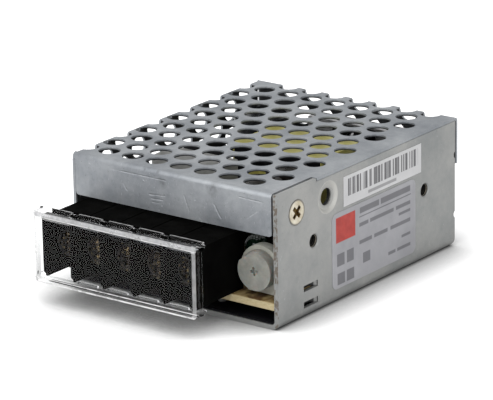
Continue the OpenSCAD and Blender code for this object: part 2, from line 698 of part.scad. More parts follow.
module solder_joints() {
    color([0.72, 0.72, 0.7]) from_front() {
        for (p = small_leads) translate([p[0], p[1], board_z - solder_h])
            cylinder(r1 = lead_r + 0.1, r2 = lead_r + 0.6, h = solder_h, $fn = 16);
        for (p = pin_places) translate([p[0], p[1], board_z - solder_h - 0.3])
            cylinder(r1 = 0.7, r2 = 1.5, h = solder_h + 0.3, $fn = 20);
    }
}

module standoffs() {
    color([0.75, 0.72, 0.6]) from_front() for (p = standoff_pos) difference() {
        translate([p[0], p[1], chassis_t]) cylinder(d = standoff_d, h = board_z - chassis_t);
        translate([p[0], p[1], 0]) cylinder(r = standoff_d / 4 + 0.05, h = board_z + 1);
    }
}

module board_screws() {
    color([0.7, 0.7, 0.68]) from_front() for (p = standoff_pos) translate([p[0], p[1], board_top]) {
        translate([0, 0, -board_t - 2.2]) cylinder(r = standoff_d / 4, h = board_t + 2.3);
        difference() {
            pan_head(standoff_d, 1.8);
            cross_recess(standoff_d * 0.6, 0.6, 1, 1.8);
        }
    }
}

// Head with a domed top, standing on z = 0
module pan_head(d, h) {
    intersection() {
        cylinder(d = d, h = h);
        translate([0, 0, h - d * 0.8]) sphere(r = d * 0.8);
    }
}

// Cross slot cut down from the top of a head
module cross_recess(w, t, depth, top) {
    for (a = [0, 90]) rotate(a) translate([-w / 2, -t / 2, top - depth]) cube([w, t, depth + 1]);
}

module cover_screw() {
    color([0.8, 0.75, 0.62]) from_front() translate([right_x, cover_screw_y, cover_screw_z]) rotate([0, -90, 0]) difference() {
        union() {
            cylinder(r1 = cover_head_d / 2, r2 = cover_screw_d / 2, h = chassis_t);
            cylinder(r = cover_screw_d / 2 - 0.3, h = cover_screw_l);
        }
        for (a = [45, 135]) rotate(a) translate([-1.5, -0.45, -1]) cube([3, 0.9, 1.7]);
    }
}

// Terminal block: body, roof, barriers, seams and hinge clips
module terminal_block() {
    color([0.07, 0.07, 0.075]) from_front() difference() {
        union() {
            box([block_x0, block_face_y, block_z], [block_x1, term_in, block_top]);
            box([block_x0, barrier_y, block_top - roof_t], [block_x1, block_face_y + 1, block_top]);
            for (i = [0:ways]) barrier(min(max(block_x0 + i * term_pitch - barrier_t / 2, block_x0),
                block_x1 - barrier_t));
            for (i = [1:ways - 1]) clip(block_x0 + i * term_pitch);
        }
        for (i = [1:ways - 1]) box([block_x0 + i * term_pitch - 0.15, barrier_y - 1, block_top - 0.3],
            [block_x0 + i * term_pitch + 0.15, term_in + 1, block_top + 0.02]);
        for (i = [1:ways]) {
            rod_y(slot_x(i), block_face_y - 1, term_in - 1.2, screw_z, term_screw_d / 2 + 0.2);
            box([slot_x(i) - pin_w / 2 - 0.15, block_face_y - 1, block_z - 1],
                [slot_x(i) + pin_w / 2 + 0.15, pin_y + pin_t / 2 + 0.15, bar_z + pin_t + 0.15]);
        }
        for (i = [1:ways - 1]) rod_x(block_x0 + i * term_pitch - 2, block_x0 + i * term_pitch + 2,
            hinge_y, hinge_z, flip_pin_r + flip_clear);
        for (i = [1:ways - 1]) translate([block_x0 + i * term_pitch, hinge_y, hinge_z]) rotate([20, 0, 0])
            box([-2, -flip_pin_r * 0.8, 0], [2, flip_pin_r * 0.8, 3]);
    }
}

// Wall between two terminals, with its lower front corner cut back
module barrier(x) {
    difference() {
        box([x, barrier_y, block_z], [x + barrier_t, block_face_y + 1, block_top - 0.5]);
        translate([x - 1, barrier_y, block_z]) rotate([45, 0, 0]) cube([barrier_t + 2, 1.1, 1.1], center = true);
    }
}

// Open clip that holds the clear cover's hinge pin
module clip(x) {
    rod_x(x - clip_w / 2, x + clip_w / 2, hinge_y, hinge_z, clip_r);
    box([x - clip_w / 2, hinge_y - clip_r, block_top - 0.3], [x + clip_w / 2, hinge_y + clip_r, hinge_z - 0.3]);
}

// Contact plates with a bar and a pin down through the board
module terminal_contacts() {
    color([0.75, 0.73, 0.68]) from_front() for (i = [1:ways]) difference() {
        union() {
            box([slot_x(i) - contact_w / 2, contact_y, screw_z - contact_w / 2],
                [slot_x(i) + contact_w / 2, block_face_y, screw_z + contact_w / 2]);
            box([slot_x(i) - pin_w / 2, contact_y, bar_z], [slot_x(i) + pin_w / 2, block_face_y, screw_z]);
            box([slot_x(i) - pin_w / 2, contact_y + 0.1, bar_z],
                [slot_x(i) + pin_w / 2, pin_y + pin_t / 2, bar_z + pin_t]);
            box([slot_x(i) - pin_w / 2, pin_y - pin_t / 2, board_z],
                [slot_x(i) + pin_w / 2, pin_y + pin_t / 2, bar_z + pin_t]);
        }
        rod_y(slot_x(i), contact_y - 1, block_face_y + 1, screw_z, term_screw_d / 2 + run_clear);
    }
}

// Square clamp washer with its upper and lower edges turned up
module clamp_washer(i) {
    color([0.78, 0.76, 0.7]) from_front() difference() {
        union() {
            box([slot_x(i) - washer_w / 2, washer_y, screw_z - washer_h / 2],
                [slot_x(i) + washer_w / 2, washer_y + washer_t, screw_z + washer_h / 2]);
            for (s = [-1, 1]) translate([slot_x(i), washer_y, screw_z + s * (washer_h - washer_lip) / 2])
                cube([washer_w, 1.2, washer_lip], center = true);
        }
        rod_y(slot_x(i), washer_y - 1, washer_y + washer_t + 1, screw_z, term_screw_d / 2 + run_clear);
    }
}

module terminal_screw(i) {
    color([0.76, 0.74, 0.7]) from_front() translate([slot_x(i), head_y, screw_z]) rotate([90, 0, 0]) difference() {
        union() {
            pan_head(term_head_d, term_head_h);
            translate([0, 0, -term_screw_l]) cylinder(d = term_screw_d, h = term_screw_l + 0.1);
            translate([0, 0, -term_screw_l - 0.6]) cylinder(d1 = term_screw_d - 1.2, d2 = term_screw_d, h = 0.6);
        }
        cross_recess(3.4, 0.8, 1.2, term_head_h);
        translate([-term_head_d, -0.35, term_head_h - 0.6]) cube([2 * term_head_d, 0.7, 2]);
    }
}
module clamp_washer_1() clamp_washer(1);
module clamp_washer_2() clamp_washer(2);
module clamp_washer_3() clamp_washer(3);
module clamp_washer_4() clamp_washer(4);
module clamp_washer_5() clamp_washer(5);
module terminal_screw_1() terminal_screw(1);
module terminal_screw_2() terminal_screw(2);
module terminal_screw_3() terminal_screw(3);
module terminal_screw_4() terminal_screw(4);
module terminal_screw_5() terminal_screw(5);

// Clear cover: plate and end walls, upper lip with its bead and pins, lower lip with hooked ends
module terminal_cover() {
    x0 = block_x0 - flip_over;
    x1 = block_x1 + flip_over;
    foot_y = flip_y0 + lip_depth - 0.3;
    color([0.85, 0.9, 0.92, 0.35]) from_front() difference() {
        union() {
            box([x0, flip_y0, flip_foot], [x1, flip_y1, flip_top]);
            box([x0, flip_y0 - 0.2, flip_top - 1.1], [x1, flip_y1, flip_top + 0.1]);
            box([x0, flip_y0, flip_top - lip_t], [x1, hinge_y, flip_top]);
            rod_x(x0, x1, hinge_y, hinge_z, bead_r);
            for (x = [x0, x1 - end_t]) box([x, flip_y0, flip_foot], [x + end_t, hinge_y - 0.2, flip_top + 0.35]);
            box([x0, flip_y0, flip_foot], [x1, foot_y, flip_foot + foot_t]);
            box([x0 + 0.3, flip_y0 - 0.4, flip_foot - 0.35], [x1 - 0.3, flip_y0 + 0.5, flip_foot + 0.2]);
            for (x = [x0, x1]) hook(x, foot_y);
            for (i = [2:ways]) box([slot_x(i) - flip_tab_w / 2, flip_y1 - 0.1, flip_foot + 0.3],
                [slot_x(i) + flip_tab_w / 2, flip_y1 + 0.5, flip_foot + 1.2]);
        }
        for (i = [1:ways - 1]) difference() {
            x = block_x0 + i * term_pitch;
            rod_x(x - clip_w / 2 - 0.25, x + clip_w / 2 + 0.25, hinge_y, hinge_z, clip_r + 0.2);
            rod_x(x - clip_w, x + clip_w, hinge_y, hinge_z, flip_pin_r);
        }
    }
}

// Small hook at one end of the clear cover's lower lip
module hook(x, y1) {
    box([x - 0.4, flip_y0 + 0.2, flip_foot], [x + 0.4, y1 + 0.4, flip_foot + foot_t]);
    rod_x(x - 0.4, x + 0.4, y1 + 0.2, flip_foot + foot_t, 0.45);
}

// Adjuster: round body on legs, with a knob that turns in it
module trimmer_body() {
    color([0.86, 0.85, 0.8]) from_front() {
        difference() {
            union() {
                rod_y(trimmer_x, trimmer_y, trimmer_y + trimmer_t, trimmer_axis_z, trimmer_d / 2);
                box([trimmer_x - 3.4, trimmer_y + 0.2, board_top + 0.2],
                    [trimmer_x + 3.4, trimmer_y + trimmer_t - 0.1, trimmer_axis_z]);
            }
            rod_y(trimmer_x, trimmer_y - 1, trimmer_y + trimmer_t + 1, trimmer_axis_z, 1.2 + run_clear);
        }
        leads(trimmer_leads, board_top + 0.5);
    }
}

module trimmer_knob() {
    color([0.9, 0.89, 0.85]) from_front() difference() {
        union() {
            rod_y(trimmer_x, knob_y, knob_y + knob_t, trimmer_axis_z, knob_d / 2);
            rod_y(trimmer_x, knob_y + knob_t - 0.1, trimmer_y + trimmer_t - 0.2, trimmer_axis_z, 1.2);
        }
        translate([trimmer_x, knob_y, trimmer_axis_z]) rotate([90, 0, 0]) for (a = [10, 100]) rotate(a)
            translate([-0.9, -0.3, -0.6]) cube([1.8, 0.6, 2]);
        // Flat that shows the set position
        translate([trimmer_x, knob_y, trimmer_axis_z]) rotate([0, -35, 0])
            box([-knob_d, -1, knob_d / 2 - 0.5], [knob_d, knob_t - 0.6, knob_d]);
    }
}

// Light standing on its leads, dome up
module indicator_light() {
    color([0.05, 0.32, 0.22]) from_front() {
        translate([led_pos[0], led_pos[1], 0]) {
            translate([0, 0, led_dome_z - led_l]) cylinder(d = led_d, h = led_l);
            translate([0, 0, led_dome_z]) sphere(d = led_d);
            translate([0, 0, led_dome_z - led_l]) cylinder(d = led_d + 0.8, h = 1);
        }
        leads(led_leads, led_dome_z - led_l + 0.5);
    }
}

// Transformer: two E cores, a bobbin on pins, the taped winding and the outer tape
xfmr_z = board_top + bobbin_base;
leg_w = core_w * 0.27;
side_leg = (core_w - leg_w) / 2 - window;
yoke = 3.4;
window_w = core_w - 2 * side_leg - 0.4;
tube = 0.1 + bobbin_t;

module transformer_core() {
    color([0.13, 0.13, 0.14]) from_front() translate([xfmr_pos[0], xfmr_pos[1], xfmr_z]) {
        for (x = [-core_w / 2, core_w / 2 - side_leg])
            box([x, -core_d / 2, 0], [x + side_leg, core_d / 2, core_h]);
        for (z = [0, core_h - yoke])
            box([-core_w / 2, -core_d / 2, z], [core_w / 2, core_d / 2, z + yoke]);
        box([-leg_w / 2, -core_d / 2, 0], [leg_w / 2, core_d / 2, core_h]);
    }
}

module transformer_bobbin() {
    z0 = yoke + 0.1;
    z1 = core_h - yoke - 0.1;
    color([0.1, 0.1, 0.1]) from_front() translate([xfmr_pos[0], xfmr_pos[1], xfmr_z]) {
        box([-core_w / 2, -winding_d / 2, -bobbin_base + foot_z], [core_w / 2, winding_d / 2, -tape_t]);
        for (s = [-1, 1]) box([-window_w / 2, s > 0 ? core_d / 2 + 0.2 : -winding_d / 2, -tape_t - 0.1],
            [window_w / 2, s > 0 ? winding_d / 2 : -core_d / 2 - 0.2, z0 + bobbin_t]);
        difference() {
            union() {
                for (z = [z0, z1 - bobbin_t])
                    box([-window_w / 2, -winding_d / 2, z], [window_w / 2, winding_d / 2, z + bobbin_t]);
                box([-leg_w / 2 - tube, -core_d / 2 - tube, z0], [leg_w / 2 + tube, core_d / 2 + tube, z1]);
            }
            box([-leg_w / 2 - 0.1, -core_d / 2 - 0.1, 0], [leg_w / 2 + 0.1, core_d / 2 + 0.1, core_h]);
        }
    }
    color([0.7, 0.7, 0.68]) from_front() leads(xfmr_leads, xfmr_z - 1);
}

module transformer_winding() {
    w = window_w / 2 - 0.4;
    d = winding_d / 2 - 0.1;
    z0 = yoke + 0.1 + bobbin_t + 0.05;
    color([0.84, 0.76, 0.28]) from_front() translate([xfmr_pos[0], xfmr_pos[1], xfmr_z]) difference() {
        box([-w, -d, z0], [w, d, core_h - z0]);
        box([-leg_w / 2 - tube - 0.05, -core_d / 2 - tube - 0.05, 0],
            [leg_w / 2 + tube + 0.05, core_d / 2 + tube + 0.05, core_h]);
    }
}

module transformer_tape() {
    d = core_d / 2 + 0.1;
    color([0.86, 0.78, 0.3]) from_front() translate([xfmr_pos[0], xfmr_pos[1], xfmr_z]) difference() {
        box([-core_w / 2 - tape_t, -d, -tape_t], [core_w / 2 + tape_t, d, core_h + tape_t]);
        box([-core_w / 2, -d - 1, 0], [core_w / 2, d + 1, core_h]);
    }
}

module bulk_capacitor() {
    color([0.12, 0.13, 0.16]) from_front() {
        translate([bulk_pos[0], bulk_pos[1], board_top + foot_z]) can(bulk_d, bulk_h);
        leads(bulk_leads, board_top + 2 * foot_z);
    }
}

module output_capacitors() {
    color([0.2, 0.18, 0.14]) from_front() {
        for (p = output_pos) translate([p[0], p[1], board_top + foot_z]) can(output_d, output_h);
        leads(output_leads, board_top + 2 * foot_z);
    }
}

module filter_capacitor() {
    color([0.78, 0.77, 0.72]) from_front() {
        translate([filter_pos[0] - filter_w / 2, filter_pos[1] - filter_d / 2, board_top + foot_z])
            linear_extrude(filter_h) rounded_area(filter_w, filter_d, 0.8);
        leads(filter_leads, board_top + 2 * foot_z);
    }
}

// Round part standing on edge, with bevelled faces
module disc_part() {
    translate([0, -disc_t / 2, disc_d / 2 + 2]) rotate([-90, 0, 0]) intersection() {
        cylinder(d = disc_d, h = disc_t);
        translate([0, 0, disc_t / 2]) sphere(r = disc_d / 2 + 0.3);
    }
}

module safety_capacitor() {
    color([0.15, 0.3, 0.6]) from_front() {
        translate([safety_pos[0], safety_pos[1], board_top]) rotate(90) disc_part();
        leads(safety_leads, board_top + disc_d / 2 + 0.8);
    }
}

module thermistor() {
    color([0.15, 0.2, 0.16]) from_front() {
        translate([thermistor_pos[0], thermistor_pos[1], board_top]) disc_part();
        leads(thermistor_leads, board_top + disc_d / 2 + 0.8);
    }
}

module fuse() {
    color([0.25, 0.14, 0.1]) from_front() {
        translate([fuse_pos[0], fuse_pos[1], board_top + foot_z]) {
            cylinder(d = fuse_d, h = fuse_h - 0.4);
            cylinder(d = fuse_d - 0.8, h = fuse_h);
        }
        leads(fuse_leads, board_top + 2 * foot_z);
    }
}

// Line choke: closed core on its leads, with two coils
choke_z = board_top + 1.4;
choke_end = choke_bar + 0.6;

module line_choke() {
    color([0.15, 0.15, 0.16]) from_front() translate([choke_pos[0], choke_pos[1], choke_z]) difference() {
        box([-choke_w / 2, -choke_t / 2, 0], [choke_w / 2, choke_t / 2, choke_h]);
        box([-choke_w / 2 + choke_bar, -choke_t, choke_bar], [choke_w / 2 - choke_bar, choke_t, choke_h - choke_bar]);
    }
}

module line_choke_coils() {
    inner = choke_bar + 0.1;
    color([0.62, 0.34, 0.16]) from_front() {
        translate([choke_pos[0], choke_pos[1], choke_z]) for (s = [0, 180]) rotate(s) difference() {
            box([choke_w / 2 - inner - coil_t, -choke_t / 2 - coil_t, choke_end],
                [coil_r, choke_t / 2 + coil_t, choke_h - choke_end]);
            box([choke_w / 2 - inner, -choke_t / 2 - 0.1, 0], [choke_w / 2 + 0.1, choke_t / 2 + 0.1, choke_h]);
        }
        leads(choke_leads, choke_z + choke_end + 0.3);
    }
}

module bridge_rectifier() {
    w = bridge_w / 2;
    color([0.09, 0.09, 0.1]) from_front() {
        translate([bridge_pos[0] - bridge_t / 2, bridge_pos[1], board_top + 2]) rotate([90, 0, 90])
            linear_extrude(bridge_t)
                polygon([[-w, 0], [w, 0], [w, bridge_h - 1.8], [w - 1.8, bridge_h], [-w, bridge_h]]);
        leads(bridge_leads, board_top + 2.5);
    }
}

// Power device with its back on y = 0, where the heat sink is
device_z = board_top + 3;
tab_hole_z = device_h + device_tab_h - 2.7;

module power_device() {
    difference() {
        box([-device_w / 2, -device_tab_t, device_h], [device_w / 2, 0, device_h + device_tab_h]);
        rod_y(0, -3, 1, tab_hole_z, 1.8);
    }
    box([-device_w / 2, -device_t, 0], [device_w / 2, 0, device_h + 0.1]);
}

module heat_sink() {
    y = sink_pos[1];
    color([0.7, 0.71, 0.72]) from_front() difference() {
        union() {
            box([sink_x0, y, board_top], [sink_x1, y + sink_t, board_top + sink_h]);
            box([sink_x0, y, board_top + sink_h - sink_t], [sink_x1, y + sink_fold, board_top + sink_h]);
        }
        rod_y(sink_pos[0], y - 1, y + sink_t + 1, device_z + tab_hole_z, 1.5);
    }
}

module switching_transistor() {
    color([0.1, 0.1, 0.1]) from_front() {
        translate([sink_pos[0], sink_pos[1], device_z]) power_device();
        leads(transistor_leads, device_z + 0.5);
    }
}

module output_heat_sink() {
    x = out_sink_pos[0];
    color([0.7, 0.71, 0.72]) from_front() difference() {
        box([x, out_sink_pos[1] - out_sink_l / 2, board_top],
            [x + sink_t, out_sink_pos[1] + out_sink_l / 2, board_top + sink_h]);
        rod_x(x - 1, x + sink_t + 1, out_sink_pos[1], device_z + tab_hole_z, 1.5);
    }
}

module output_rectifier() {
    color([0.1, 0.1, 0.1]) from_front() {
        translate([out_sink_pos[0], out_sink_pos[1], device_z]) rotate(-90) power_device();
        leads(rectifier_leads, device_z + 0.5);
    }
}

module output_choke() {
    color([0.3, 0.26, 0.2]) from_front() {
        translate([coil_pos[0], coil_pos[1], board_top + foot_z]) {
            cylinder(d = coil_d, h = sink_t);
            cylinder(d = coil_d - 1.2, h = coil_h);
            translate([0, 0, coil_h - sink_t]) cylinder(d = coil_d, h = sink_t);
        }
        leads(coil_leads, board_top + 2 * foot_z);
    }
}

// Chip body with its rows of legs along x, or along y when turned
module chip_body(l) {
    translate([0, 0, board_top + 0.4]) box([-l / 2, -chip_w / 2, 0], [l / 2, chip_w / 2, chip_h]);
}

module optocoupler() {
    color([0.85, 0.85, 0.82]) from_front() {
        translate([opto_pos[0], opto_pos[1], 0]) rotate(90) chip_body(opto_l);
        for (p = opto_leads) leg(p, [opto_pos[0], p[1]]);
        leads(opto_leads, board_top + 2.1);
    }
}

module controller() {
    color([0.09, 0.09, 0.1]) from_front() {
        translate([chip_pos[0], chip_pos[1], 0]) chip_body(chip_l);
        for (p = chip_leads) leg(p, [p[0], chip_pos[1]]);
        leads(chip_leads, board_top + 2.1);
    }
}

// Top of a leg, from its lead in to the middle line of the chip
module leg(p, q) {
    box([min(p[0], q[0]) - 0.25, min(p[1], q[1]) - 0.25, board_top + 1.8],
        [max(p[0], q[0]) + 0.25, max(p[1], q[1]) + 0.25, board_top + 2.1]);
}

// Labels on the right wall
module narrow_label() {
    color([0.92, 0.92, 0.92]) from_front() translate([right_x, bar_label_y, bar_label_z])
        cube([label_t, bar_label_l, bar_label_h]);
}

module rating_label() {
    color([0.82, 0.82, 0.85]) from_front() translate([right_x, plate_label_y, plate_label_z])
        rotate([90, 0, 90]) linear_extrude(label_t) rounded_area(plate_label_l, plate_label_h, plate_label_r);
}

chassis();
mesh_cover();
insulation_film();
circuit_board();
solder_joints();
standoffs();
board_screws();
cover_screw();
terminal_block();
terminal_contacts();
clamp_washer_1();
clamp_washer_2();
clamp_washer_3();
clamp_washer_4();
clamp_washer_5();
terminal_screw_1();
terminal_screw_2();
terminal_screw_3();
terminal_screw_4();
terminal_screw_5();
terminal_cover();
trimmer_body();
trimmer_knob();
indicator_light();
transformer_core();
transformer_bobbin();
transformer_winding();
transformer_tape();
bulk_capacitor();
output_capacitors();
filter_capacitor();
safety_capacitor();
fuse();
thermistor();
line_choke();
line_choke_coils();
bridge_rectifier();
heat_sink();
switching_transistor();
output_heat_sink();
output_rectifier();
output_choke();
optocoupler();
controller();
narrow_label();
rating_label();
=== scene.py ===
import json
import math

import bpy
from mathutils import Matrix, Vector


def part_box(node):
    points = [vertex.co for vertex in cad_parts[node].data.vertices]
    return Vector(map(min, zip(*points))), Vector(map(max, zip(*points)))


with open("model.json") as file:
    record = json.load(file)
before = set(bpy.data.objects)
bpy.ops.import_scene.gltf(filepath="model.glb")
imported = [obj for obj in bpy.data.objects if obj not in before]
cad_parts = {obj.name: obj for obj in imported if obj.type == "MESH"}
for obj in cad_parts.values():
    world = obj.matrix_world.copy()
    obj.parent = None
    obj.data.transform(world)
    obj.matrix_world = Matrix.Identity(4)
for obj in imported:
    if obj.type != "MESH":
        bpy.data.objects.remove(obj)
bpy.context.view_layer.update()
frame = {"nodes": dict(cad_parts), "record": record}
nodes = frame["nodes"]
MM = 0.001
TO_MM = 1000


def planes(node):
    """Lowest and highest corners of a node, in millimetres."""
    return [Vector(c) * TO_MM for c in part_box(node)]


cover_lo, cover_hi = planes("mesh_cover")
case_lo, case_hi = planes("chassis")
mounts = {m["name"]: [v * TO_MM for v in m["pos_m"]] for m in frame["record"]["mounts"]}
# Thickness of the chassis sheet and of the cover sheet
WALL = 1.0
SHEET = 0.6
# Distance between the two threaded side holes, and the pitch of their thread
MOUNT_PITCH = 39.1
THREAD = 0.5


# ---------------------------------------------------------------- node helpers
class Mat:
    """A material with short ways to add nodes. Object coordinates are the row frame, here in millimetres."""

    def __init__(self, name):
        self.m = bpy.data.materials.new(name)
        self.m.use_nodes = True
        self.t = self.m.node_tree
        self.b = self.t.nodes["Principled BSDF"]
        self.out = self.t.nodes["Material Output"]
        self._mm = None

    def new(self, kind, **values):
        n = self.t.nodes.new(kind)
        for k, v in values.items():
            setattr(n, k, v)
        return n

    def link(self, a, b):
        self.t.links.new(a, b)

    def coord(self):
        if self._mm is None:
            c = self.new("ShaderNodeTexCoord")
            s = self.new("ShaderNodeVectorMath", operation="SCALE")
            s.inputs["Scale"].default_value = TO_MM
            self.link(c.outputs["Object"], s.inputs[0])
            self._mm = s.outputs[0]
        return self._mm

    def mapped(self, scale=(1, 1, 1), rotation=(0, 0, 0), offset=(0, 0, 0)):
        n = self.new("ShaderNodeMapping")
        n.inputs["Scale"].default_value = scale
        n.inputs["Rotation"].default_value = [math.radians(a) for a in rotation]
        n.inputs["Location"].default_value = offset
        self.link(self.coord(), n.inputs["Vector"])
        return n.outputs[0]

    def noise(self, size, detail=3, rough=0.55, vector=None):
        """Noise whose features are about size millimetres across."""
        n = self.new("ShaderNodeTexNoise")
        n.inputs["Scale"].default_value = 1 / size
        n.inputs["Detail"].default_value = detail
        n.inputs["Roughness"].default_value = rough
        self.link(vector or self.coord(), n.inputs["Vector"])
        return n.outputs["Fac"]

    def ramp(self, fac, *stops):
        """Stops are (position, value or colour)."""
        n = self.new("ShaderNodeValToRGB")
        e = n.color_ramp.elements
        while len(e) < len(stops):
            e.new(0.5)
        for k, (p, c) in zip(e, stops):
            k.position = p
            k.color = (*c, 1) if isinstance(c, (tuple, list)) else (c, c, c, 1)
        self.link(fac, n.inputs["Fac"])
        return n.outputs["Color"]

    def range(self, fac, a, b, c, d):
        n = self.new("ShaderNodeMapRange")
        for i, v in enumerate((a, b, c, d), 1):
            n.inputs[i].default_value = v
        self.link(fac, n.inputs[0])
        return n.outputs[0]

    def math(self, op, a, b=None):
        n = self.new("ShaderNodeMath", operation=op)
        for i, v in enumerate((a, b)):
            if v is None:
                continue
            if isinstance(v, (int, float)):
                n.inputs[i].default_value = v
            else:
                self.link(v, n.inputs[i])
        return n.outputs[0]

    def mix(self, fac, a, b):
        n = self.new("ShaderNodeMix", data_type="RGBA")
        for k, v in ((0, fac), (6, a), (7, b)):
            if isinstance(v, (int, float)):
                n.inputs[k].default_value = v if k == 0 else (v, v, v, 1)
            elif isinstance(v, (tuple, list)):
                n.inputs[k].default_value = (*v, 1)
            else:
                self.link(v, n.inputs[k])
        return n.outputs[2]

    def xyz(self):
        n = self.new("ShaderNodeSeparateXYZ")
        self.link(self.coord(), n.inputs[0])
        return n.outputs

    def inside(self, value, a, b, soft=0.05):
        """1 where value lies between a and b, else 0."""
        up = self.range(value, a - soft, a + soft, 0, 1)
        return self.math("MULTIPLY", up, self.range(value, b - soft, b + soft, 1, 0))

    def rect(self, u, v, box, soft=0.05):
        """1 inside the rectangle (u0, u1, v0, v1)."""
        return self.math("MULTIPLY", self.inside(u, *box[:2], soft), self.inside(v, *box[2:], soft))

    def point(self, u, v):
        n = self.new("ShaderNodeCombineXYZ")
        self.link(u, n.inputs[0])
        self.link(v, n.inputs[1])
        return n.outputs[0]

    def vec(self, op, a, b, out=0):
        n = self.new("ShaderNodeVectorMath", operation=op)
        for i, v in enumerate((a, b)):
            if isinstance(v, tuple):
                n.inputs[i].default_value = v
            else:
                self.link(v, n.inputs[i])
        return n.outputs[out]

    def near(self, u, v, centre, r, soft=0.1):
        """1 within r of a centre in the plane of u and v."""
        d = self.vec("DISTANCE", self.point(u, v), (*centre, 0), "Value")
        return self.range(d, r - soft, r + soft, 1, 0)

    def stroke(self, u, v, p, q, width, soft=0.1):
        """1 along the straight stroke from p to q."""
        to = (q[0] - p[0], q[1] - p[1], 0)
        length2 = to[0] ** 2 + to[1] ** 2
        from_p = self.vec("SUBTRACT", self.point(u, v), (*p, 0))
        share = self.vec("DOT_PRODUCT", from_p, tuple(c / length2 for c in to), "Value")
        along = self.range(share, 0, 1, 0, 1)
        n = self.new("ShaderNodeVectorMath", operation="SCALE")
        n.inputs[0].default_value = to
        self.link(along, n.inputs["Scale"])
        d = self.vec("DISTANCE", from_p, n.outputs[0], "Value")
        return self.range(d, width / 2 - soft, width / 2 + soft, 1, 0)

    def most(self, *masks):
        out = masks[0]
        for k in masks[1:]:
            out = self.math("MAXIMUM", out, k)
        return out

    def all(self, *masks):
        out = masks[0]
        for k in masks[1:]:
            out = self.math("MULTIPLY", out, k)
        return out

    def bump(self, height, strength, distance_mm, normal=None):
        n = self.new("ShaderNodeBump")
        n.inputs["Strength"].default_value = strength
        n.inputs["Distance"].default_value = distance_mm * MM
        self.link(height, n.inputs["Height"])
        if normal is not None:
            self.link(normal, n.inputs["Normal"])
        return n.outputs[0]

    def set(self, **values):
        """Constants or links on the shader's own sockets."""
        for k, v in values.items():
            s = self.b.inputs[k.replace("_", " ")]
            if isinstance(v, (int, float)):
                s.default_value = v
            elif isinstance(v, (tuple, list)):
                s.default_value = (*v, 1) if len(v) == 3 and s.type == "RGBA" else v
            else:
                self.link(v, s)
        return self


def steel(name, dark, light, scratch_turn, wear=0.5, extra=None):
    """Zinc-plated sheet: cloudy grey, rolling grain, short scratches, specks and small dents."""
    m = Mat(name)
    x, y, z = m.xyz()
    cloud = m.noise(14, 4, 0.6)
    fine = m.noise(1.3, 4, 0.7)
    tone = m.math("ADD", m.math("MULTIPLY", cloud, 0.7), m.math("MULTIPLY", fine, 0.3))
    col = m.ramp(tone, (0.36, dark), (0.64, light))
    grain = m.noise(0.5, 3, 0.6, m.mapped((1, 0.06, 1)))
    speckle = m.noise(0.5, 3, 0.7, m.mapped((1, 0.7, 1), offset=(10, 30, 20)))
    specks = m.ramp(speckle, (0.29, 1.0), (0.33, 0.0))
    col = m.mix(m.math("MULTIPLY", specks, 0.5 * wear), col, (0.06, 0.055, 0.05))
    marks = []
    for i, turn in enumerate(scratch_turn):
        stretch = (1, 7, 1.2) if i % 2 else (7, 1.4, 1)
        scratch = m.noise(1.1, 2, 0.5, m.mapped(stretch, (turn, 20 * i, turn * 1.3)))
        marks.append(m.ramp(scratch, (0.7, 0.0), (0.78, 0.8)))
    marks = m.most(*marks)
    col = m.mix(m.math("MULTIPLY", marks, 0.5 * wear), col, (0.55, 0.56, 0.58))
    height = marks
    if extra:
        col, height = extra(m, x, y, z, col, marks)
    dents = m.noise(4.5, 2, 0.5)
    rough = m.math("ADD", m.math("MULTIPLY", fine, 0.6), m.math("MULTIPLY", cloud, 0.4))
    normal = m.bump(grain, 0.25, 0.02, m.bump(dents, 0.6, 0.16))
    m.set(Base_Color=col, Metallic=0.8, Roughness=m.range(rough, 0.3, 0.7, 0.5, 0.66),
          Normal=m.bump(height, 0.8 * wear, 0.09, normal))
    return m


def paint_inside_shade(m, x, y, z, col, lo, hi):
    """Painted shade: metal between the planes lo and hi, inside the case, is coloured near black."""
    inside_shade_mask = m.all(m.inside(x, lo[0], hi[0]), m.inside(y, lo[1], hi[1]), m.inside(z, lo[2], hi[2]))
    return m.mix(m.math("MULTIPLY", inside_shade_mask, 0.9), col, (0.02, 0.02, 0.021))


# Faint marks on the front flap: from and to, measured from its middle and down from the top, and width.
# A scratch program placed them and the spots from the photograph, which the report lists as a fault.
FLAP_MARKS = [
    ((-15.8, 1.8), (-1.6, 1.85), 0.22), ((-12.5, 4.3), (-11.7, 5.5), 0.3), ((-5.8, 5.4), (-2.0, 5.1), 0.22),
    ((-5.4, 6.2), (-2.4, 6.1), 0.22), ((-5.1, 6.9), (-3.3, 6.9), 0.2), ((2.9, 4.1), (4.1, 7.2), 0.28),
    ((10.4, 4.6), (11.9, 7.1), 0.3), ((16.6, 1.9), (22.3, 2.05), 0.2), ((18.4, 6.0), (20.9, 4.1), 0.25),
]
# Dark smudges and pits on it, with their radii
FLAP_SPOTS = [
    ((-2.7, 2.5), 0.9), ((10.1, 1.4), 1.2), ((-3.75, 0.4), 0.28), ((1.45, 0.35), 0.2), ((-7.0, 0.45), 0.18),
]


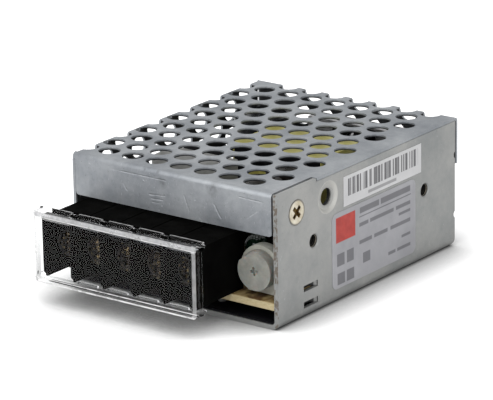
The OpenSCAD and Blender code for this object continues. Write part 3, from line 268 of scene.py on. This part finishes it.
def cover_extra(m, x, y, z, col, marks):
    depth = m.math("SUBTRACT", cover_hi.z, z)
    front = m.range(y, cover_lo.y + 0.3, cover_lo.y + 0.9, 1, 0)
    lines = m.most(*[m.stroke(x, depth, p, q, w) for p, q, w in FLAP_MARKS])
    broken = m.ramp(m.noise(1.6, 3, 0.6), (0.38, 0.25), (0.6, 1.0))
    lines = m.all(lines, front, broken)
    spots = m.all(m.most(*[m.near(x, depth, c, r, r * 0.7) for c, r in FLAP_SPOTS]), front, broken)
    col = m.mix(m.math("MULTIPLY", lines, 0.35), col, (0.5, 0.51, 0.53))
    col = m.mix(m.math("MULTIPLY", spots, 0.6), col, (0.08, 0.085, 0.09))
    # Painted shade on the cover's inner faces.
    col = paint_inside_shade(m, x, y, z, col, (cover_lo.x + SHEET - 0.1, cover_lo.y + SHEET - 0.1, -1),
                      (case_hi.x - 0.3, cover_hi.y - SHEET + 0.1, cover_hi.z - SHEET + 0.2))
    return col, m.math("SUBTRACT", marks, lines)


def case_extra(m, x, y, z, col, marks):
    _, hole_y, hole_z = mounts["side_mount_holes"]
    edge = m.all(m.range(y, case_lo.y + 0.03, case_lo.y + 0.12, 1, 0),
                 m.range(x, case_hi.x - WALL, case_hi.x - 0.9 * WALL, 0, 1))
    rust = m.ramp(m.noise(0.7, 3, 0.7, m.mapped((1, 1, 0.6))), (0.47, 0.0), (0.56, 1.0))
    col = m.mix(m.math("MULTIPLY", m.all(edge, rust), 0.7), col, (0.10, 0.065, 0.035))
    for side in (-1, 1):
        hole = m.near(y, z, (hole_y + side * MOUNT_PITCH / 2, hole_z), 1.32, 0.08)
        # Painted shade and highlight: each threaded hole is striped near black and pale brass along the
        # thread's turns.
        wave = m.math("SINE", m.math("MULTIPLY", x, 2 * math.pi / THREAD))
        thread_shade_stripes = m.ramp(wave, (0.3, (0.02, 0.019, 0.017)), (0.8, (0.5, 0.45, 0.36)))
        col = m.mix(hole, col, thread_shade_stripes)
    _, ring_y, ring_z = mounts["side_clearance_hole"]
    # Painted highlight: a paler ring round the clearance hole, on the outer face only.
    hole_rim_highlight = m.math("SUBTRACT", m.near(y, z, (ring_y, ring_z), 3.35, 0.1),
                  m.near(y, z, (ring_y, ring_z), 2.5, 0.5))
    outer = m.range(x, case_hi.x - 0.6, case_hi.x - 0.5, 0, 1)
    col = m.mix(m.math("MULTIPLY", m.all(hole_rim_highlight, outer), 0.4), col, (0.62, 0.61, 0.57))
    # Painted shade on the case's inner faces.
    col = paint_inside_shade(m, x, y, z, col, (-99, case_lo.y + 0.25, WALL - 0.12),
                      (case_hi.x - WALL + 0.2, case_hi.y - 0.1, 99))
    return col, marks


def plastic(name, dark, light, rough=(0.35, 0.5), size=6, grain=0.35, bump=0.2, **extra):
    """Moulded plastic, clouded from dark to light, with a fine grain."""
    m = Mat(name)
    m.set(Base_Color=m.ramp(m.noise(size, 4, 0.6), (0.35, dark), (0.65, light)),
          Roughness=m.range(m.noise(size * 0.4, 3), 0.3, 0.7, *rough),
          Normal=m.bump(m.noise(grain, 3, 0.6), bump, 0.03))
    m.set(**extra)
    return m


def bright(name, dark, light, rough=(0.25, 0.42), size=1.2, stops=(0.35, 0.65)):
    """Plain metal, clouded from dark to light."""
    m = Mat(name)
    m.set(Base_Color=m.ramp(m.noise(size, 4, 0.6), (stops[0], dark), (stops[1], light)), Metallic=0.9,
          Roughness=m.range(m.noise(size * 0.5, 3), 0.3, 0.7, *rough),
          Normal=m.bump(m.noise(0.4, 3, 0.6), 0.25, 0.03))
    return m


def brassy_screw():
    """Pale plated head, with painted shade round its edge, and brown in its cross."""
    m = Mat("brassy_screw")
    x, y, z = m.xyz()
    lo, hi = planes("cover_screw")
    middle = ((lo.y + hi.y) / 2, (lo.z + hi.z) / 2)
    col = m.ramp(m.noise(1.4, 4, 0.6), (0.35, (0.42, 0.37, 0.27)), (0.65, (0.62, 0.58, 0.48)))
    # Painted shade: the outer band of the head is coloured dark.
    painted_rim_mask = m.near(y, z, middle, (hi.z - lo.z) / 2 - 0.28, 0.12)
    col = m.mix(painted_rim_mask, (0.16, 0.15, 0.13), col)
    # Inside the cross: mottled near black to brown.
    cross_brown = m.ramp(m.noise(0.5, 3, 0.6), (0.4, (0.02, 0.012, 0.004)), (0.62, (0.4, 0.27, 0.1)))
    col = m.mix(m.range(x, hi.x - 0.15, hi.x - 0.05, 1, 0), col, cross_brown)
    m.set(Base_Color=col, Metallic=0.7, Roughness=m.range(m.noise(0.6), 0.3, 0.7, 0.3, 0.45),
          Normal=m.bump(m.noise(0.9, 3, 0.6), 0.35, 0.08))
    return m


# Painted shade and painted glints for the terminal screws: near-black metal with scattered pale brass spots.
SHADED_BRASS, BRASS_GLINT = (0.016, 0.011, 0.007), (0.4, 0.3, 0.14)
# Hardly any gloss, so that black parts stay black under the pale floor and world
DULL = {"Specular_IOR_Level": 0.008}
SLEEVE = {"rough": (0.2, 0.35), "Specular_IOR_Level": 0.25}

M = {
    "zinc_chassis": steel("zinc_chassis", (0.225, 0.235, 0.235), (0.345, 0.345, 0.335), (12, 64),
                          extra=case_extra),
    "zinc_cover": steel("zinc_cover", (0.19, 0.205, 0.225), (0.35, 0.365, 0.38), (25, 80, 47),
                        wear=1.0, extra=cover_extra),
    "brassy_screw": brassy_screw(),
}
for name, dark, light, extra in (
    # Plated screws: painted shade with painted glints.
    ("plated_screws", SHADED_BRASS, BRASS_GLINT, {"size": 0.7, "stops": (0.56, 0.7)}),
    ("tinned_metal", (0.02, 0.017, 0.012), (0.34, 0.28, 0.17), {"size": 0.9, "stops": (0.55, 0.72)}),
    ("solder", (0.5, 0.5, 0.49), (0.66, 0.66, 0.64), {}),
    ("copper_wire", (0.2, 0.07, 0.03), (0.35, 0.14, 0.06), {}),
    ("bare_aluminium", (0.34, 0.34, 0.35), (0.5, 0.5, 0.51), {"rough": (0.35, 0.5)}),
):
    M[name] = bright(name, dark, light, **extra)
for name, dark, light, extra in (
    ("black_film", (0.006, 0.006, 0.008), (0.012, 0.012, 0.014), {"rough": (0.3, 0.45), **DULL}),
    ("black_block", (0.0015, 0.0015, 0.0014), (0.0032, 0.0032, 0.003),
     {"rough": (0.65, 0.85), "grain": 0.25, **DULL}),
    ("ferrite", (0.008, 0.008, 0.009), (0.015, 0.015, 0.016), {"rough": (0.5, 0.7), "size": 2, **DULL}),
    ("black_plastic", (0.004, 0.004, 0.004), (0.008, 0.008, 0.008), DULL),
    ("dark_sleeve", (0.004, 0.0045, 0.006), (0.008, 0.009, 0.012), SLEEVE),
    ("brown_sleeve", (0.008, 0.006, 0.004), (0.014, 0.010, 0.006), SLEEVE),
    ("yellow_tape", (0.62, 0.56, 0.13), (0.78, 0.72, 0.24), {"rough": (0.3, 0.45), "size": 5}),
    ("ivory_plastic", (0.42, 0.42, 0.37), (0.52, 0.52, 0.46), {}),
    ("grey_case", (0.3, 0.3, 0.29), (0.4, 0.4, 0.38), {}),
    ("blue_coat", (0.02, 0.05, 0.16), (0.03, 0.08, 0.24), {"rough": (0.2, 0.4)}),
    ("brown_case", (0.03, 0.014, 0.009), (0.05, 0.024, 0.015), DULL),
    ("dark_coat", (0.008, 0.014, 0.010), (0.014, 0.022, 0.016), DULL),
    ("white_plastic", (0.4, 0.4, 0.38), (0.5, 0.5, 0.47), {}),
):
    M[name] = plastic(name, dark, light, **extra)


def board_material():
    """Paper laminate: cream cut edge, and a face mottled from dark to mid brown."""
    m = Mat("board")
    z = m.xyz()[2]
    top = planes("circuit_board")[1].z
    fibres = m.noise(0.6, 4, 0.7, m.mapped((1, 0.3, 3)))
    edge = m.ramp(fibres, (0.3, (0.42, 0.34, 0.19)), (0.7, (0.58, 0.5, 0.31)))
    patches = m.noise(2.4, 3, 0.6, m.mapped((1, 0.6, 1)))
    face = m.ramp(patches, (0.42, (0.09, 0.05, 0.02)), (0.52, (0.24, 0.17, 0.07)), (0.66, (0.34, 0.26, 0.13)))
    m.set(Base_Color=m.mix(m.range(z, top - 0.2, top - 0.05, 0, 1), edge, face),
          Roughness=m.range(fibres, 0.3, 0.7, 0.45, 0.65), Normal=m.bump(fibres, 0.4, 0.04),
          Specular_IOR_Level=0.2)
    return m


def clear_material():
    """Clear moulding with painted highlights: its rims, ends and lower lip are painted opaque grey and white,
    as light shows on thick edges of clear plastic.

    IOR is below that of real clear plastic, to weaken the pale floor's reflection over the black block.
    """
    m = Mat("clear_plastic")
    x, y, z = m.xyz()
    lo, hi = planes("terminal_cover")
    front = m.range(y, lo.y + 0.5, lo.y + 0.7, 1, 0)
    face = m.range(y, lo.y + 0.35, lo.y + 0.45, 1, 0)
    band = m.all(m.inside(z, hi.z - 1.5, hi.z - 0.35), front)
    bead = m.all(m.range(y, hi.y - 0.9, hi.y - 0.7, 0, 1), m.range(z, hi.z - 0.35, hi.z - 0.25, 0, 1))
    end = m.all(m.range(x, hi.x - 1.4, hi.x - 1.25, 0, 1), face)
    left = m.all(m.inside(x, lo.x + 0.3, lo.x + 0.75), front)
    foot = m.all(m.most(m.inside(z, lo.z + 0.75, lo.z + 1.0), m.inside(z, lo.z - 0.1, lo.z + 0.35)), front)
    lines = m.most(m.all(m.inside(z, hi.z - 1.5, hi.z - 1.3), front), bead, left, foot)
    uneven = m.ramp(m.noise(2.2, 3, 0.6), (0.35, 0.6), (0.65, 1.0))
    # Painted highlights: grey bands and white lines along the rims, ends and lip, with little transmission
    # there.
    painted_rim_mask = m.all(m.most(band, end, lines), uneven)
    tone = m.mix(m.all(lines, uneven), (0.42, 0.42, 0.43), (0.85, 0.85, 0.85))
    m.set(Base_Color=m.mix(painted_rim_mask, (0.985, 0.99, 0.99), tone), Transmission_Weight=m.range(painted_rim_mask, 0, 1, 1.0, 0.1),
          Roughness=m.range(painted_rim_mask, 0, 1, 0.0, 0.4), IOR=1.15, Specular_IOR_Level=0.1)
    return m


def knob_material():
    """Milky plastic."""
    m = Mat("milky_knob")
    col = m.ramp(m.noise(2.2, 4, 0.6), (0.35, (0.23, 0.23, 0.21)), (0.65, (0.32, 0.32, 0.29)))
    m.set(Base_Color=col, Roughness=0.35, Subsurface_Weight=0.3, Subsurface_Scale=0.0015,
          Normal=m.bump(m.noise(0.5), 0.15, 0.03), Specular_IOR_Level=0.25)
    return m


def light_material():
    """Dark green glossy body of the unlit indicator."""
    m = Mat("green_light")
    col = m.ramp(m.noise(2), (0.3, (0.003, 0.012, 0.006)), (0.7, (0.006, 0.022, 0.012)))
    m.set(Base_Color=col, Roughness=0.12, Coat_Weight=0.3, Specular_IOR_Level=0.3)
    return m


def paper(name, node, dark, light):
    """Label film; returns the material, its y and z from the label's corner, its colour and its size."""
    m = Mat(name)
    lo, hi = planes(node)
    _, y, z = m.xyz()
    m.set(Roughness=m.range(m.noise(1.5), 0.3, 0.7, 0.38, 0.5), Normal=m.bump(m.noise(3.5), 0.25, 0.03),
          Specular_IOR_Level=0.2)
    col = m.ramp(m.noise(9, 4, 0.6), (0.35, dark), (0.65, light))
    return m, m.math("SUBTRACT", y, lo.y), m.math("SUBTRACT", z, lo.z), col, hi - lo


def white_label():
    """White film with a field of plain bars over a grey strip."""
    m, u, v, col, size = paper("white_label", "narrow_label", (0.6, 0.6, 0.61), (0.68, 0.68, 0.69))
    wide = m.noise(0.75, 1, 0.5, m.point(u, m.math("MULTIPLY", v, 0)))
    bars = m.ramp(wide, (0.49, 1.0), (0.53, 0.0))
    field = m.rect(u, v, (1.4, size.y - 1.2, 1.9, size.z - 0.7), 0.06)
    strip = m.rect(u, v, (8.5, 18.5, 0.6, 1.25), 0.06)
    ink = m.most(m.all(bars, field), m.math("MULTIPLY", strip, 0.6))
    m.set(Base_Color=m.mix(m.math("MULTIPLY", ink, 0.85), col, (0.06, 0.058, 0.065)))
    return m


# Plain bars on the large label: from and to along it, height of the middle, and thickness.
# They stand where the real label has words and marks.
BARS = [
    (9.6, 16.4, 14.3, 1.25), (17.0, 27.6, 14.3, 1.25), (9.4, 12.6, 11.3, 0.8), (13.2, 21.6, 11.3, 0.8),
    (22.4, 27.6, 11.3, 0.8), (23.4, 27.6, 9.7, 0.6), (9.4, 13.8, 7.6, 0.8), (14.6, 19.4, 7.6, 0.8),
    (20.4, 27.6, 7.6, 0.8), (24.4, 27.6, 4.7, 0.6), (19.6, 22.2, 2.3, 0.7), (22.8, 27.6, 2.3, 0.7),
    (1.6, 4.2, 5.9, 2.6), (5.0, 7.4, 5.9, 2.6), (1.7, 4.3, 1.9, 2.4), (4.9, 7.5, 1.9, 2.4),
    (10.6, 13.2, 4.0, 2.2),
]


def rating_label():
    """Silver film with a plain red field, a rule and grey bars in place of words."""
    m, u, v, col, size = paper("silver_label", "rating_label", (0.34, 0.34, 0.362), (0.42, 0.42, 0.443))
    ink = m.most(*[m.rect(u, v, (u0, u1, v0 - t / 2, v0 + t / 2), 0.08) for u0, u1, v0, t in BARS])
    rule = m.rect(u, v, (9.4, 27.8, 12.85, 13.1), 0.05)
    col = m.mix(m.math("MULTIPLY", m.most(ink, rule), 0.7), col, (0.09, 0.09, 0.1))
    red = m.rect(u, v, (1.3, 8.0, 9.6, 14.9), 0.08)
    ruddy = m.ramp(m.noise(2, 3), (0.35, (0.4, 0.028, 0.018)), (0.65, (0.5, 0.045, 0.03)))
    m.set(Base_Color=m.mix(m.math("MULTIPLY", red, 0.95), col, ruddy))
    return m


M["board"] = board_material()
M["clear_plastic"] = clear_material()
M["milky_knob"] = knob_material()
M["green_light"] = light_material()
M["white_label"] = white_label()
M["silver_label"] = rating_label()

for subpart in frame["record"]["subparts"]:
    o = nodes[subpart["node"]]
    mat = M[subpart["material_slot"]].m
    if not o.material_slots:
        o.data.materials.append(mat)
    for slot in o.material_slots:
        slot.link = "OBJECT"
        slot.material = mat


# ------------------------------------------------------------- edge rounding
BEVEL_STEPS = 2
BEVEL_ABOVE = math.radians(35)
EDGE_WIDTHS = {
    "chassis": 0.14, "mesh_cover": 0.1, "terminal_block": 0.15, "terminal_cover": 0.12,
    "trimmer_knob": 0.25, "trimmer_body": 0.2, "circuit_board": 0.06, "filter_capacitor": 0.3,
    "bulk_capacitor": 0.25, "output_capacitors": 0.25, "transformer_tape": 0.1, "transformer_core": 0.15,
}


def soften(node, width):
    """Joins the frame's split vertices and rounds its edges a little, as pressed or moulded edges are."""
    o = nodes[node]
    weld = o.modifiers.new("weld", "WELD")
    weld.merge_threshold = 0.002 * MM
    bevel = o.modifiers.new("bevel", "BEVEL")
    bevel.width = width * MM
    bevel.segments = BEVEL_STEPS
    bevel.limit_method = "ANGLE"
    bevel.angle_limit = BEVEL_ABOVE
    bevel.harden_normals = True


for node, width in EDGE_WIDTHS.items():
    soften(node, width)

# --------------------------------------------------------------------- stage
# Half the floor's side, how far it lies under the object, and its own light where a lens sees it
FLOOR = 3.0
FLOOR_DROP = 0.00002
FLOOR_GLOW = 0.6
# Reach and steepness of the contact shadow
CONTACT_REACH = 0.012
CONTACT_POWER = 1.6
# Strength of the world for diffuse light, and where a camera, gloss or clear plastic shows it
WORLD_LIGHT = 0.45
WORLD_SEEN = 1.0


def seen_directly(tree):
    """1 for camera, glossy and transmission rays, else 0."""
    path = tree.nodes.new("ShaderNodeLightPath")
    out = path.outputs["Is Camera Ray"]
    for kind in ("Is Glossy Ray", "Is Transmission Ray"):
        most = tree.nodes.new("ShaderNodeMath")
        most.operation = "MAXIMUM"
        tree.links.new(out, most.inputs[0])
        tree.links.new(path.outputs[kind], most.inputs[1])
        out = most.outputs[0]
    return out


def floor_material():
    """Pale matt floor with a soft contact shadow, white where it is seen directly."""
    m = Mat("floor")
    ao = m.new("ShaderNodeAmbientOcclusion", samples=8)
    ao.inputs["Distance"].default_value = CONTACT_REACH
    contact = m.math("POWER", ao.outputs["AO"], CONTACT_POWER)
    m.set(Base_Color=m.mix(contact, (0.02, 0.02, 0.02), (0.86, 0.86, 0.86)), Roughness=0.9,
          Specular_IOR_Level=0.1)
    glow = m.new("ShaderNodeEmission")
    glow.inputs["Color"].default_value = (1, 1, 1, 1)
    strength = m.math("MULTIPLY", contact, FLOOR_GLOW)
    m.link(m.math("MULTIPLY", seen_directly(m.t), strength), glow.inputs["Strength"])
    add = m.new("ShaderNodeAddShader")
    m.link(m.b.outputs[0], add.inputs[0])
    m.link(glow.outputs[0], add.inputs[1])
    m.link(add.outputs[0], m.out.inputs[0])
    return m.m


mesh = bpy.data.meshes.new("floor")
corners = [(-FLOOR, -FLOOR, 0), (FLOOR, -FLOOR, 0), (FLOOR, FLOOR, 0), (-FLOOR, FLOOR, 0)]
mesh.from_pydata(corners, [], [(0, 1, 2, 3)])
mesh.materials.append(floor_material())
floor = bpy.data.objects.new("floor", mesh)
floor.location.z = -FLOOR_DROP
bpy.context.scene.collection.objects.link(floor)

world = bpy.data.worlds.new("studio")
bpy.context.scene.world = world
world.use_nodes = True
tree = world.node_tree
background = tree.nodes["Background"]
background.inputs["Color"].default_value = (1, 1, 1, 1)
strength = tree.nodes.new("ShaderNodeMapRange")
strength.inputs[3].default_value = WORLD_LIGHT
strength.inputs[4].default_value = WORLD_SEEN
tree.links.new(seen_directly(tree), strength.inputs[0])
tree.links.new(strength.outputs[0], background.inputs["Strength"])


def lamp(name, place, target, size, power):
    light = bpy.data.lights.new(name, "AREA")
    light.energy = power
    light.size = size
    o = bpy.data.objects.new(name, light)
    bpy.context.scene.collection.objects.link(o)
    o.location = place
    o.rotation_euler = (Vector(target) - Vector(place)).to_track_quat("-Z", "Y").to_euler()


lamp("key", (-0.1, -0.7, 0.62), (0, 0, 0.01), 1.0, 7.6)
lamp("side", (0.85, -0.2, 0.45), (0, 0, 0.01), 0.5, 2.2)
lamp("top", (-0.15, 0.1, 0.9), (0, 0, 0.02), 0.5, 0.6)

# -------------------------------------------------------------------- camera
# The photograph's viewing angle, from a camera fitted to the case's corners and vent holes
AZIMUTH, ELEVATION, ROLL = math.radians(37.08), math.radians(18.13), math.radians(-1.03)
CAMERA_PLACE = (0.398775, -0.53515, 0.2324)
LENS = 248.8

back = Vector((math.sin(AZIMUTH) * math.cos(ELEVATION), -math.cos(AZIMUTH) * math.cos(ELEVATION),
               math.sin(ELEVATION)))
right = Vector((math.cos(AZIMUTH), math.sin(AZIMUTH), 0))
up = back.cross(right)
across = math.cos(ROLL) * right + math.sin(ROLL) * up
upright = -math.sin(ROLL) * right + math.cos(ROLL) * up
lens = bpy.data.cameras.new("camera")
lens.sensor_fit = "HORIZONTAL"
lens.sensor_width = 36
lens.lens = LENS
lens.clip_start = 0.01
camera = bpy.data.objects.new("camera", lens)
bpy.context.scene.collection.objects.link(camera)
turned = Matrix((across, upright, back)).transposed().to_4x4()
camera.matrix_world = Matrix.Translation(CAMERA_PLACE) @ turned
bpy.context.scene.camera = camera

bpy.context.scene.view_settings.view_transform = "Standard"
